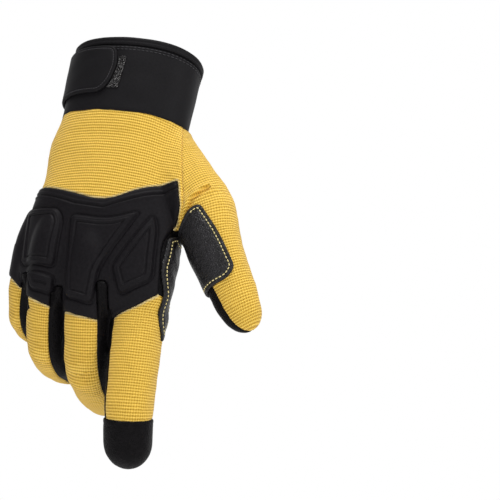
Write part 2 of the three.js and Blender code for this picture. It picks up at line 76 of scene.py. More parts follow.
# Palm sections: z, centre x and y, half width, depth to the back and to the palm, exponent, then how
# far the section drops on the thumb's side and comes forward on the far side
palmSections = [
    (-38.8, 0, 0.9, 36.1, 22, 22, 2.2, 0, 0),
    (-46.6, -0.5, 1.1, 36.4, 21.9, 21.9, 2.2, 0, 0),
    (-60, -0.7, 1, 39.1, 20.1, 22.1, 2.2, 0, 0),
    (-80, 1.4, 2, 39.4, 19, 21.1, 2.3, 0, 0),
    (-100, 2.1, 2, 42.1, 18, 19, 2.4, 1, 0),
    (-120, 2.2, 3.1, 43.4, 17, 17, 2.4, 3, 2),
    (-138, 1.2, 5.1, 44.8, 15.6, 15, 2.3, 5, 4),
    (-147, -0.5, 7.1, 42.8, 11.9, 12.6, 2.2, 6, 6),
    (-153, -0.9, 9.2, 37.7, 5.4, 7.5, 2.1, 6, 6),
]

# Fingers and thumb: root places before the knuckle, knuckle, lean, bends, length and width, bones and
# half widths as shares, the round tip as a share of the width, depth to width, and the splay, each
# bone's turn toward the thumb's side
limbTable = {
    "index": dict(
        knuckle=(28.8, 5, -128.3), lean=2.6, bend=(8, 6, 18), length=103, width=26.2,
        bone=(0.45, 0.297, 0.253), half=(0.52, 0.555, 0.52, 0.48, 0.445), tip=0.48, deep=0.88,
    ),
    "middle": dict(
        knuckle=(2, -3.4, -130.8), lean=1.5, bend=(27, 47, 24), length=108, width=24.5,
        bone=(0.472, 0.278, 0.25), half=(0.468, 0.51, 0.51, 0.468, 0.447), tip=0.51, deep=0.9,
    ),
    "ring": dict(
        knuckle=(-21, -3, -125.3), lean=-2.5, bend=(31, 54, 24), length=106, width=22.5,
        bone=(0.472, 0.274, 0.254), half=(0.467, 0.51, 0.49, 0.467, 0.445), tip=0.49, deep=0.9,
    ),
    "little": dict(
        knuckle=(-37.3, 6.7, -119), lean=-5.5, bend=(28, 55, 26), length=80, width=20.5,
        bone=(0.45, 0.2875, 0.2625), half=(0.463, 0.512, 0.488, 0.468, 0.44), tip=0.49, deep=0.9,
    ),
    "thumb": dict(
        roots=[(15, 3.1, -24), (20.2, 4.1, -50)],
        knuckle=(56.1, 0.5, -91.5), lean=27.7, bend=(0, 8, 6), length=71, width=35,
        bone=(0.278, 0.444, 0.278), half=(0.54, 0.56, 0.5, 0.415, 0.345, 0.26), tip=0.3, deep=0.82,
        splay=(0, 2, 6),
    ),
}
fingerNames = ["index", "middle", "ring", "little"]

# Where knit and side walls lie round each limb, in degrees from the thumb's side over the back
backPanels = {"index": (-28, 150), "middle": (25, 155), "ring": (45, 182), "little": (70, 200)}
farSides = {"index": (146, 210), "middle": (153, 210), "ring": (178, 215)}
nearSides = {"middle": (-25, 42), "ring": (-25, 62), "little": (-25, 88)}
thumbPanel = (-80, 138)
backReach = {"index": 1.5}  # how much further off the finger its knit still reaches
backStart = {"little": 30}  # how far along the finger its knit starts

# Outlines seen from the back or the palm: x and z as shares of the palm's width and the hand's
# length, and the corner's rounding as a share of the width
outlines = {
    "pad": [
        (-0.65, 0.553, 0), (-0.38, 0.587, 0.1), (0.06, 0.645, 0.12), (0.27, 0.572, 0.1),
        (0.458, 0.532, 0.01), (0.505, 0.64, 0.05), (0.425, 0.755, 0.08), (0.457, 0.947, 0.01),
        (0.337, 1.0, 0.05), (0.17, 1.047, 0.02), (0.12, 1.057, 0.02), (0.02, 1.055, 0.05),
        (-0.13, 1.03, 0.02), (-0.26, 1.012, 0.05), (-0.35, 0.987, 0.02), (-0.65, 0.84, 0),
    ],
    "padCorner": [
        (-0.65, 0.77, 0), (-0.33, 0.8, 0), (-0.33, 0.99, 0.02), (-0.36, 0.982, 0.02), (-0.65, 0.84, 0),
    ],
    "cellLeft": [
        (-0.44, 0.675, 0.03), (-0.22, 0.685, 0.04), (-0.18, 0.725, 0.04), (-0.18, 0.893, 0.03),
        (-0.41, 0.875, 0.03),
    ],
    "cellSmall": [
        (-0.335, 0.913, 0.02), (-0.175, 0.93, 0.02), (-0.18, 0.98, 0.02), (-0.3, 0.967, 0.02),
    ],
    "cellCentre": [
        (-0.12, 0.705, 0.03), (0.11, 0.713, 0.1), (0.275, 0.67, 0.03), (0.1, 0.893, 0.04),
        (0.087, 1.01, 0.03), (-0.07, 0.99, 0.03), (-0.095, 0.85, 0.1),
    ],
    "cellRight": [
        (0.355, 0.672, 0.05), (0.185, 0.88, 0.03), (0.25, 0.965, 0.03), (0.41, 0.905, 0.04),
        (0.385, 0.72, 0.08),
    ],
    "thumbBack": [(0.36, 0.2, 0), (0.52, 0.62, 0), (0.5, 1.3, 0), (1.3, 1.3, 0), (1.3, 0.2, 0)],
    "thumbPatch": [
        (0.5, 0.72, 0.01), (0.56, 0.64, 0.04), (0.62, 0.615, 0.04), (0.75, 0.705, 0.1),
        (0.875, 0.825, 0.06), (0.845, 0.868, 0.04), (0.73, 0.91, 0.02), (0.65, 0.92, 0.01),
    ],
    "palmPatch": [
        (0.44, 0.985, 0.03), (0.33, 1.0, 0.04), (0.25, 0.95, 0.05), (0.15, 0.995, 0.05),
        (0.07, 0.995, 0.05), (0, 0.95, 0.05), (-0.09, 0.99, 0.06), (-0.16, 0.97, 0.05),
        (-0.24, 0.905, 0.05), (-0.34, 0.96, 0.06), (-0.41, 0.91, 0.05), (-0.405, 0.725, 0.02),
        (-0.28, 0.68, 0.03), (-0.385, 0.61, 0.04), (-0.385, 0.5, 0.1), (-0.33, 0.355, 0.05),
        (-0.21, 0.35, 0.05), (0.06, 0.53, 0.02), (0.015, 0.4, 0.02), (0.27, 0.45, 0.04),
        (0.325, 0.61, 0.1), (0.38, 0.7, 0.02), (0.3, 0.722, 0.05), (-0.095, 0.61, 0.02),
        (-0.09, 0.65, 0.03), (0.2, 0.755, 0.1), (0.42, 0.785, 0.02),
    ],
    "tab_index_middle": [
        (0.1, 0.93, 0.03), (0.168, 0.93, 0.03), (0.185, 1.07, 0), (0.13, 1.08, 0),
    ],
    "tab_middle_ring": [
        (-0.165, 0.952, 0.02), (-0.112, 0.952, 0.02), (-0.115, 1.055, 0), (-0.178, 1.055, 0),
    ],
    "tab_ring_little": [
        (-0.405, 0.905, 0.02), (-0.36, 0.905, 0.02), (-0.345, 1.015, 0), (-0.43, 1.015, 0),
    ],
}

# The side patch seen from the thumb: y as a share of the palm's depth, z of the hand's length
sidePatchOutline = [
    (0.12, 0.69, 0.06), (-0.2, 0.74, 0.06), (-0.21, 0.86, 0.1), (0.05, 1.02, 0.1),
    (0.26, 1.09, 0.03), (0.4, 1.03, 0.05), (0.38, 0.75, 0.06),
]
strapOutline = [
    (-48, -5.2, 0), (-4.3, -6.4, 4.6), (-2, -16.8, 9), (-4.8, -28.4, 7), (-9.8, -34.2, 7),
    (-48, -34.2, 0),
]
loopOutline = [(-7, -12, 1), (2.2, -12, 1), (0.4, -31, 1), (-7, -31, 1)]

# Webs between the finger roots: the low and high corner of each
webs = {
    "index_middle": ((13.2, -1.7, -162.8), (17.2, 14.3, -146.3)),
    "middle_ring": ((-13.3, -2, -162), (-8.3, 15.3, -147)),
    "ring_little": ((-36.8, 2, -154.5), (-27.6, 21.1, -135)),
}
padCells = ["cellLeft", "cellSmall", "cellCentre", "cellRight"]


# The rows of a table read between its marks
def readAt(places, marks, table):
    return np.array([np.interp(places, marks, column) for column in table.T]).T


# A centripetal Catmull-Rom curve through the joints, sampled evenly
def curveThrough(joints):
    joints = np.array(joints, float)
    ends = [2 * joints[0] - joints[1], 2 * joints[-1] - joints[-2]]
    control = np.vstack([ends[0], joints, ends[1]])
    dense = []
    for a, b, c, d in zip(control, control[1:], control[2:], control[3:]):
        u, v, w = (np.linalg.norm(q - p) ** 0.5 for p, q in ((a, b), (b, c), (c, d)))
        leave = ((b - a) / u - (c - a) / (u + v) + (c - b) / v) * v
        enter = ((c - b) / v - (d - b) / (v + w) + (d - c) / w) * v
        t = np.linspace(0, 1, curveSamples, endpoint=False)[:, None]
        square = (3 * (c - b) - 2 * leave - enter) * t**2
        cube = (2 * (b - c) + leave + enter) * t**3
        dense.append(b + leave * t + square + cube)
    dense = np.vstack([*dense, joints[-1:]])
    run = np.concatenate([[0], np.cumsum(np.linalg.norm(np.diff(dense, axis=0), axis=1))])
    s = np.linspace(0, run[-1], int(run[-1] / sampleStep) + 1)
    return s, readAt(s, run, dense)


def unit(vectors):
    return vectors / np.maximum(np.linalg.norm(vectors, axis=-1, keepdims=True), 1e-9)


# Evenly smoothed copy of a row of numbers
def smoothed(values, reach):
    weights = np.exp(-np.linspace(-2, 2, 2 * reach + 1) ** 2)
    padded = np.pad(values, reach, mode="edge")
    return np.convolve(padded, weights / weights.sum(), mode="valid")


# The centre line of a finger or the thumb with its frame and half width at each sample
def makeLimb(row):
    lean = math.radians(row["lean"])
    straight = np.array([math.sin(lean), 0, -math.cos(lean)])
    across = np.array([math.cos(lean), 0, math.sin(lean)])
    up = np.cross(straight, across)
    knuckle = np.array(row["knuckle"], float)
    joints = [np.array(p, float) for p in row.get("roots", [])] or [knuckle - straight * row["length"] / 4]
    joints.append(knuckle)
    turn = 0
    for bend, bone, splay in zip(row["bend"], row["bone"], row.get("splay", (0, 0, 0))):
        turn += math.radians(bend)
        along = straight * math.cos(turn) - up * math.sin(turn)
        along = unit(along + across * math.tan(math.radians(splay)))
        joints.append(joints[-1] + along * bone * row["length"])
    s, centre = curveThrough(joints)
    marks = np.concatenate([[0], np.cumsum([np.linalg.norm(q - p) for p, q in zip(joints, joints[1:])])])
    marks *= s[-1] / marks[-1]
    tangent = unit(np.gradient(centre, axis=0))
    side = unit(across - tangent * (tangent @ across)[:, None])
    half = smoothed(np.interp(s, marks, row["half"]), 8) * row["width"]
    return dict(
        s=s, centre=centre, tangent=tangent, across=side, up=np.cross(tangent, side), half=half,
        total=s[-1], round=row["tip"] * row["width"], deep=row["deep"], marks=marks, length=row["length"],
    )


# A closed skin over rings of points
def loft(rings):
    count = len(rings[0])
    points = np.vstack([*rings, rings[0].mean(0), rings[-1].mean(0)])
    faces = []
    for k in range(len(rings) - 1):
        for i in range(count):
            a, b = k * count + i, k * count + (i + 1) % count
            faces.append((a, b, b + count, a + count))
    last, hub = (len(rings) - 1) * count, len(points) - 2
    for i in range(count):
        j = (i + 1) % count
        faces.append((hub, j, i))
        faces.append((hub + 1, last + i, last + j))
    return points, faces


def ringOf(centre, across, up, half, back, front, power):
    angle = np.linspace(0, 2 * np.pi, roundSides, endpoint=False)
    c, s = np.cos(angle), np.sin(angle)
    x = half * np.sign(c) * np.abs(c) ** (2 / power)
    y = np.where(s > 0, back, front) * np.sign(s) * np.abs(s) ** (2 / power)
    return centre + x[:, None] * across + y[:, None] * up


def limbSkin(limb):
    end = limb["total"] - limb["round"]
    places = [(s, 1) for s in np.arange(0, end, sampleStep)]
    places += [(end + limb["round"] * math.sin(a), math.cos(a)) for a in np.radians(np.arange(0, 88, 5))]
    rings = []
    for s, share in places:
        at = [readAt(s, limb["s"], limb[key]) for key in ("centre", "across", "up")]
        half = np.interp(s, limb["s"], limb["half"]) * share
        rings.append(ringOf(*at, half, half * limb["deep"], half * limb["deep"], squareness))
    return loft(rings)


def palmSkin():
    rows = np.array(palmSections, float)
    z = np.arange(rows[0, 0], rows[-1, 0] - 0.01, -sampleStep)
    columns = [smoothed(np.interp(-z, -rows[:, 0], rows[:, k]), 4) for k in range(1, 9)]
    rings = []
    for level, x, y, half, back, front, power, slope, arch in zip(z, *columns):
        across = unit(np.array([1, -math.tan(math.radians(arch)), -math.tan(math.radians(slope))]))
        rings.append(ringOf(np.array([x, y, level]), across, np.array([0, -1, 0]), half, back, front, power))
    return loft(rings)


def cuffRing(z, grow, sides=roundSides):
    t = -z / cuffHeight
    half = (cuffWidth + (wristWidth - cuffWidth) * t) / 2 + grow
    depth = (cuffDepth + (wristDepth - cuffDepth) * t) / 2 + grow
    angle = np.linspace(0, 2 * np.pi, sides, endpoint=False)
    c, s = np.cos(angle), np.sin(angle)
    x = half * np.sign(c) * np.abs(c) ** (2 / squareness)
    y = -depth * np.sign(s) * np.abs(s) ** (2 / squareness)
    return np.column_stack([x, y + t, np.full(sides, z)])


def newObject(name, points, faces):
    mesh = bpy.data.meshes.new(name)
    mesh.from_pydata((np.asarray(points) / 1000).tolist(), [], [list(map(int, f)) for f in faces])
    made = bpy.data.objects.new(name, mesh)
    bpy.context.collection.objects.link(made)
    return made


# Points and triangles of an object with its modifiers applied, in millimetres
def readMesh(source):
    mesh = bpy.data.meshes.new_from_object(source.evaluated_get(bpy.context.evaluated_depsgraph_get()))
    mesh.calc_loop_triangles()
    points = np.empty(len(mesh.vertices) * 3)
    mesh.vertices.foreach_get("co", points)
    triangles = np.empty(len(mesh.loop_triangles) * 3, dtype=np.int32)
    mesh.loop_triangles.foreach_get("vertices", triangles)
    bpy.data.meshes.remove(mesh)
    return points.reshape(-1, 3) * 1000, triangles.reshape(-1, 3).astype(np.int64)


def normalsOf(points, triangles):
    a, b, c = (points[triangles[:, k]] for k in range(3))
    face = np.cross(b - a, c - a)
    total = np.zeros_like(points)
    for k in range(3):
        for axis in range(3):
            total[:, axis] += np.bincount(triangles[:, k], face[:, axis], len(points))
    return unit(total)


# Moves each point toward the mean of its neighbours; the points in fixed stay
def relaxed(values, triangles, times, fixed=None):
    pairs = np.vstack([triangles[:, [0, 1]], triangles[:, [1, 2]], triangles[:, [2, 0]]])
    pairs = np.unique(np.sort(pairs, axis=1), axis=0)
    count = len(values)
    degree = np.bincount(pairs.ravel(), minlength=count).astype(float)
    for _ in range(times):
        mean = np.zeros_like(values)
        for axis in range(values.shape[1]):
            mean[:, axis] = np.bincount(pairs[:, 0], values[pairs[:, 1], axis], count)
            mean[:, axis] += np.bincount(pairs[:, 1], values[pairs[:, 0], axis], count)
        moved = values + 0.5 * (mean / np.maximum(degree, 1)[:, None] - values)
        if fixed is not None:
            moved[fixed] = values[fixed]
        values = moved
    return values


def roundedOutline(rows, across, down):
    corners = np.array([(x * across, -z * down) for x, z, _ in rows])
    count = len(corners)
    points = []
    for i, (_, _, rounding) in enumerate(rows):
        corner, before, after = corners[i], corners[i - 1], corners[(i + 1) % count]
        back, ahead = np.linalg.norm(before - corner), np.linalg.norm(after - corner)
        radius = min(rounding * across, 0.45 * back, 0.45 * ahead)
        if radius < 0.2:
            points.append(corner)
            continue
        start = corner + (before - corner) * radius / back
        end = corner + (after - corner) * radius / ahead
        for t in np.linspace(0, 1, 7):
            points.append((1 - t) ** 2 * start + 2 * t * (1 - t) * corner + t**2 * end)
    return np.array(points)


# Signed distance to a closed outline, positive inside
def insideOf(outline, u, v):
    nearest = np.full(len(u), 1e9)
    inside = np.zeros(len(u), bool)
    for (ax, ay), (bx, by) in zip(outline, np.roll(outline, -1, axis=0)):
        dx, dy = bx - ax, by - ay
        t = np.clip(((u - ax) * dx + (v - ay) * dy) / max(dx * dx + dy * dy, 1e-9), 0, 1)
        nearest = np.minimum(nearest, np.hypot(u - ax - t * dx, v - ay - t * dy))
        if abs(dy) > 1e-9:
            crosses = ((ay > v) != (by > v)) & (u < ax + (v - ay) * dx / dy)
            inside ^= crosses
    return np.where(inside, nearest, -nearest)


# Where each point lies along and round a limb, and how far off its surface
def followLimb(limb, points):
    index = np.empty(len(points), dtype=np.int64)
    centre = limb["centre"]
    for start in range(0, len(points), 20000):
        block = points[start:start + 20000]
        gap = (centre**2).sum(1)[None, :] - 2 * block @ centre.T
        index[start:start + 20000] = gap.argmin(1)
    away = points - centre[index]
    along = (away * limb["tangent"][index]).sum(1)
    x = (away * limb["across"][index]).sum(1)
    y = (away * limb["up"][index]).sum(1)
    s = limb["s"][index] + along
    angle = np.arctan2(y, x)
    radius = np.hypot(x, y)
    half = limb["half"][index]
    c, d = np.abs(np.cos(angle)) / half, np.abs(np.sin(angle)) / (half * limb["deep"])
    surface = (c**squareness + d**squareness) ** (-1 / squareness)
    over = np.maximum(s - limb["total"] + limb["round"], 0) / limb["round"]
    off = (np.sqrt((radius / surface) ** 2 + over**2) - 1) * surface
    return dict(s=s, angle=angle, radius=radius, off=off)


def wedgeField(at, span):
    middle, spread = math.radians(sum(span) / 2), math.radians((span[1] - span[0]) / 2)
    turned = np.abs((at["angle"] - middle + np.pi) % (2 * np.pi) - np.pi)
    return (spread - turned) * np.maximum(at["radius"], 3)


def boxField(p, low, high):
    return np.minimum((p - np.array(low)).min(1), (np.array(high) - p).min(1))


def lineDistance(line, u, v):
    nearest = np.full(len(u), 1e9)
    for (ax, ay), (bx, by) in zip(line, line[1:]):
        dx, dy = bx - ax, by - ay
        t = np.clip(((u - ax) * dx + (v - ay) * dy) / (dx * dx + dy * dy), 0, 1)
        nearest = np.minimum(nearest, np.hypot(u - ax - t * dx, v - ay - t * dy))
    return nearest


# Parts a skin, a dictionary of values at each point with its triangles, where a field is zero
def splitSkin(values, triangles, field):
    field = np.where(np.abs(field) < 0.03, 0.03, field)
    inside = field > 0
    held = inside[triangles]
    count = held.sum(1)
    mixed = (count == 1) | (count == 2)
    odd = np.where(count == 1, held.argmax(1), held.argmin(1))[mixed]
    rows = np.arange(len(odd))
    cut = triangles[mixed]
    a, b, c = cut[rows, odd], cut[rows, (odd + 1) % 3], cut[rows, (odd + 2) % 3]
    single = count[mixed] == 1
    pairs = np.sort(np.vstack([np.column_stack([a, b]), np.column_stack([a, c])]), axis=1)
    edges, place = np.unique(pairs, axis=0, return_inverse=True)
    place = place.reshape(-1)
    low, high = edges[:, 0], edges[:, 1]
    t = field[low] / (field[low] - field[high])
    first = len(field)
    ab, ac = first + place[:len(a)], first + place[len(a):]
    grown = {}
    for key, value in values.items():
        share = t[:, None] if value.ndim == 2 else t
        grown[key] = np.concatenate([value, value[low] * (1 - share) + value[high] * share])
    small = np.column_stack([a, ab, ac])
    rest = np.vstack([np.column_stack([ab, b, c]), np.column_stack([ab, c, ac])])
    twice = np.concatenate([single, single])
    within = np.vstack([triangles[count == 3], small[single], rest[~twice]])
    without = np.vstack([triangles[count == 0], small[~single], rest[twice]])
    return compact(grown, within), compact(grown, without), (grown, ab, ac)


def compact(values, triangles):
    used, triangles = np.unique(triangles, return_inverse=True)
    return {key: value[used] for key, value in values.items()}, triangles.reshape(-1, 3)


# Each triangle in four, with values at the new points from both ends of their edge
def finer(values, triangles):
    edges = np.sort(np.vstack([triangles[:, [0, 1]], triangles[:, [1, 2]], triangles[:, [2, 0]]]), axis=1)
    pairs, place = np.unique(edges, axis=0, return_inverse=True)
    place = place.reshape(-1) + len(values["p"])
    count = len(triangles)
    ab, bc, ca = place[:count], place[count:2 * count], place[2 * count:]
    a, b, c = triangles.T
    made = np.vstack([np.column_stack(t) for t in ((a, ab, ca), (ab, b, bc), (ca, bc, c), (ab, bc, ca))])
    grown = {key: np.concatenate([v, (v[pairs[:, 0]] + v[pairs[:, 1]]) / 2]) for key, v in values.items()}
    grown["p"] = relaxed(grown["p"], made, 3, rimPoints(made))
    return grown, made


def rimEdges(triangles):
    edges = np.vstack([triangles[:, [0, 1]], triangles[:, [1, 2]], triangles[:, [2, 0]]])
    _, place, count = np.unique(np.sort(edges, axis=1), axis=0, return_inverse=True, return_counts=True)
    return edges[count[place.reshape(-1)] == 1]


def rimPoints(triangles):
    return np.unique(rimEdges(triangles))


# The lines where a field is zero, each as points and outward directions in order
def contours(values, triangles, field):
    _, _, (grown, ab, ac) = splitSkin(values, triangles, field)
    links = {}
    for a, b in zip(ab.tolist(), ac.tolist()):
        links.setdefault(a, []).append(b)
        links.setdefault(b, []).append(a)
    lines = []
    free = set(links)
    starts = [k for k in links if len(links[k]) == 1] + list(links)
    for start in starts:
        if start not in free:
            continue
        line = [start]
        free.discard(start)
        while True:
            following = [k for k in links[line[-1]] if k in free]
            if not following:
                break
            line.append(following[0])
            free.discard(following[0])
        if len(line) > 12:
            lines.append((grown["p"][line], grown["n"][line]))
    return lines


# Points at an even pitch along lines, lifted off the surface, for stitches; along keeps only those
# near a line seen from the back
def stitchPlaces(lines, pitch, lift, along=None):
    places, alongs, outs = [], [], []
    for points, normals in lines:
        points = np.column_stack([smoothed(points[:, k], 3) for k in range(3)])
        run = np.concatenate([[0], np.cumsum(np.linalg.norm(np.diff(points, axis=0), axis=1))])
        if run[-1] < 3 * pitch:
            continue
        s = np.arange(pitch / 2, run[-1], run[-1] / round(run[-1] / pitch))
        at = readAt(s, run, points)
        ahead = readAt(s + 0.4, run, points)
        behind = readAt(s - 0.4, run, points)
        out = unit(readAt(s, run, normals))
        kept = np.ones(len(s), bool)
        if along is not None:
            kept = lineDistance(along["line"], at[:, 0], at[:, 2]) < along["within"]
        places.append((at + out * lift)[kept])
        alongs.append(unit(ahead - behind)[kept])
        outs.append(out[kept])
    return np.vstack(places), np.vstack(alongs), np.vstack(outs)


# A rounded step from 0 to 1; in the tables below a pair gives where it starts and where it is full
def rise(value, low, high):
    t = np.clip((value - low) / (high - low), 0, 1)
    return t * t * (3 - 2 * t)


# A low rounded line; in the tables a pair gives its place and width
def ridge(value, place, width):
    return np.exp(-(((value - place) / width) ** 2))


# How far an edge is rolled in, for a distance to the seam; in the tables edge is radius and depth
def rolled(distance, radius, depth):
    t = np.clip(distance / radius, 0, 1)
    return -depth * (1 - np.sqrt(1 - (1 - t) ** 2))


# Soft unevenness of a given size, from a few waves in fixed directions
def uneven(points, size, seed):
    random = np.random.default_rng(seed)
    total = np.zeros(len(points))
    for _ in range(9):
        wave = unit(random.normal(size=3)) * 2 * np.pi / (size * random.uniform(0.7, 1.5))
        total += np.sin(points @ wave + random.uniform(0, 6.3))
    return total / 3


def linear(code):
    parts = [int(code[k:k + 2], 16) / 255 for k in (1, 3, 5)]
    return [c / 12.92 if c <= 0.04045 else ((c + 0.055) / 1.055) ** 2.4 for c in parts] + [1]


# Adds a node with its settings; each input is a value or another node's output
def add(tree, kind, inputs=None, **settings):
    made = tree.nodes.new(kind)
    for key, value in settings.items():
        setattr(made, key, value)
    for key, value in (inputs or {}).items():
        if isinstance(value, bpy.types.NodeSocket):
            tree.links.new(value, made.inputs[key])
        else:
            made.inputs[key].default_value = value
    return made


def newMaterial(name):
    material = bpy.data.materials.new(name)
    material.use_nodes = True
    tree = material.node_tree
    tree.nodes.clear()
    return material, tree


def setRamp(ramp, stops):
    elements = ramp.color_ramp.elements
    while len(elements) < len(stops):
        elements.new(0.5)
    for element, (place, code) in zip(elements, stops):
        element.position = place
        element.color = linear(code)


def finishMaterial(tree, inputs):
    shader = add(tree, "ShaderNodeBsdfPrincipled", inputs)
    out = add(tree, "ShaderNodeOutputMaterial")
    tree.links.new(shader.outputs[0], out.inputs["Surface"])


# Ribbed knit: raised ribs across the hand with finer stitches along each rib
def ribbedKnit(name, settings):
    material, tree = newMaterial(name)
    weave = add(tree, "ShaderNodeAttribute", attribute_name="weave")
    parts = add(tree, "ShaderNodeSeparateXYZ", {0: weave.outputs["Vector"]})

    def wave(source, pitch):
        turned = add(tree, "ShaderNodeMath", {0: source, 1: 2 * math.pi / pitch}, operation="MULTIPLY")
        return add(tree, "ShaderNodeMath", {0: turned.outputs[0]}, operation="SINE").outputs[0]

    coords = add(tree, "ShaderNodeTexCoord").outputs["Object"]
    drift = add(tree, "ShaderNodeTexNoise", {
        "Vector": coords, "Scale": 1000 / settings["driftSize"], "Detail": 2,
    })
    bentRib = add(tree, "ShaderNodeMath", {
        0: drift.outputs["Fac"], 1: settings["drift"], 2: parts.outputs["Y"],
    }, operation="MULTIPLY_ADD")
    rib = wave(bentRib.outputs[0], settings["ribPitch"])
    stitch = wave(parts.outputs["X"], settings["stitchPitch"])
    both = add(tree, "ShaderNodeMath", {
        0: stitch, 1: settings["stitchShare"], 2: rib,
    }, operation="MULTIPLY_ADD")
    fibre = add(tree, "ShaderNodeTexNoise", {
        "Vector": coords, "Scale": 1000 / settings["fibreSize"], "Detail": 4,
    })
    height = add(tree, "ShaderNodeMath", {
        0: fibre.outputs["Fac"], 1: settings["fibreShare"], 2: both.outputs[0],
    }, operation="MULTIPLY_ADD")
    share = add(tree, "ShaderNodeMapRange", {
        "Value": height.outputs[0], "From Min": -1.2, "From Max": 1.6,
    })
    # The colour follows the relief: painted shade in the grooves between the ribs, a painted highlight on
    # their crests, with the fibres' random tone
    ramp = add(tree, "ShaderNodeValToRGB", {"Fac": share.outputs["Result"]})
    setRamp(ramp, settings["colours"])
    bump = add(tree, "ShaderNodeBump", {
        "Height": share.outputs["Result"], "Distance": settings["depth"] / 1000, "Strength": 1,
    })
    # The weave's third value mixes in a painted highlight colour along the knit's edge beside the pad
    turned = add(tree, "ShaderNodeMix", {
        "Factor": parts.outputs["Z"], 6: ramp.outputs["Color"], 7: linear(settings["edge"]),
    }, data_type="RGBA")
    finishMaterial(tree, {
        "Base Color": turned.outputs[2], "Roughness": settings["roughness"], "Normal": bump.outputs["Normal"],
        "Sheen Weight": settings["sheen"], "Specular IOR Level": settings["specular"],
    })
    return material


roughnessSpread = 0.06


# A plain surface with a fine grain: moulded pad, synthetic leather, neoprene, thread or pile
def grained(name, settings):
    material, tree = newMaterial(name)
    coords = add(tree, "ShaderNodeTexCoord").outputs["Object"]
    cells = add(tree, "ShaderNodeTexVoronoi", {"Vector": coords, "Scale": 1000 / settings["grainSize"]})
    cloud = add(tree, "ShaderNodeTexNoise", {
        "Vector": coords, "Scale": 1000 / settings["cloudSize"], "Detail": 5,
    })
    height = add(tree, "ShaderNodeMath", {
        0: cells.outputs["Distance"], 1: settings["grainShare"], 2: cloud.outputs["Fac"],
    }, operation="MULTIPLY_ADD")
    bump = add(tree, "ShaderNodeBump", {
        "Height": height.outputs[0], "Distance": settings["depth"] / 1000, "Strength": 1,
    })
    ramp = add(tree, "ShaderNodeValToRGB", {"Fac": cloud.outputs["Fac"]})
    setRamp(ramp, settings["colours"])
    rough = add(tree, "ShaderNodeMapRange", {
        "Value": cloud.outputs["Fac"],
        "To Min": settings["roughness"] - roughnessSpread, "To Max": settings["roughness"] + roughnessSpread,
    })
    finishMaterial(tree, {
        "Base Color": ramp.outputs["Color"], "Roughness": rough.outputs["Result"],
        "Normal": bump.outputs["Normal"],
        "Sheen Weight": settings["sheen"], "Specular IOR Level": settings["specular"],
    })
    return material


materials = {
    # Ribbed knit: matt and golden, with painted shade between its ribs and a painted highlight on their
    # crests; the ribs stand as coarse as the picture can show; its fibres are finer than that and are drawn
    # at 0.35 mm
    "knit": ribbedKnit("yellow_ribbed_knit", dict(
        ribPitch=1.4, stitchPitch=1.15, stitchShare=0.4, drift=1.2, driftSize=22,
        fibreSize=0.35, fibreShare=0.5,
        # edge is the colour of the painted highlight along the knit's edge beside the pad
        depth=0.42, roughness=0.85, sheen=0.15, specular=0.1, edge="#f2e2ad",
        # The ramp runs from painted shade in the grooves to a painted highlight on the crests
        colours=[(0, "#9a742a"), (0.3, "#d3a73c"), (0.7, "#ebc04f"), (1, "#f8d66e")],
    )),
    # Moulded pad: even and nearly matt, with soft lights along its grooves
    "pad": grained("black_moulded_pad", dict(
        grainSize=0.5, cloudSize=1.4, grainShare=0.5, depth=0.05, roughness=0.52, sheen=0, specular=0.1,
        colours=[(0.3, "#110f12"), (0.7, "#181619")],
    )),
    # Synthetic leather: deep black with a fine grain and a low gloss
    "leather": grained("black_synthetic_leather", dict(
        grainSize=0.8, cloudSize=2.4, grainShare=1.2, depth=0.24, roughness=0.5, sheen=0, specular=0.07,
        colours=[(0.3, "#080708"), (0.7, "#121012")],
    )),
    # The same leather worked soft: a little lighter, glossier on its creases
    "softLeather": grained("black_wrinkled_leather", dict(
        grainSize=0.9, cloudSize=3, grainShare=1.2, depth=0.3, roughness=0.4, sheen=0, specular=0.3,
        colours=[(0.3, "#121112"), (0.7, "#1f1d20")],
    )),
    # Neoprene: an even, matt black cloth face
    "neoprene": grained("black_neoprene", dict(
        grainSize=0.4, cloudSize=0.9, grainShare=0.5, depth=0.04, roughness=0.55, sheen=0, specular=0.09,
        colours=[(0.3, "#141315"), (0.7, "#1a191b")],
    )),
    # Loop pile: dark, with the light ends of its loops, drawn at 0.4 mm so that they show
    "loops": grained("black_loop_pile", dict(
        grainSize=0.4, cloudSize=0.4, grainShare=2, depth=0.5, roughness=0.95, sheen=0, specular=0.1,
        colours=[(0.48, "#121113"), (0.55, "#1c1b1d"), (0.62, "#b4b2b2")],
    )),
    # Sewing thread of the patches: pale yellow with a slight gloss
    "yellowThread": grained("yellow_thread", dict(
        grainSize=0.2, cloudSize=0.5, grainShare=0.5, depth=0.03, roughness=0.7, sheen=0.2, specular=0.3,
        colours=[(0.3, "#d9c47c"), (0.7, "#f3e6a8")],
    )),
    # Sewing thread of strap and hem: a little lighter than the cloth that it holds
    "blackThread": grained("black_thread", dict(
        grainSize=0.2, cloudSize=0.5, grainShare=0.5, depth=0.03, roughness=0.6, sheen=0, specular=0.25,
        colours=[(0.3, "#343336"), (0.7, "#454447")],
    )),
}


def declare(made, finish, nodes=()):
    made.data.materials.clear()
    made.data.materials.append(materials[finish])
    for polygon in made.data.polygons:
        polygon.use_smooth = True
    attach(made, "root")
    if nodes:
        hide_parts(*nodes)
    return made


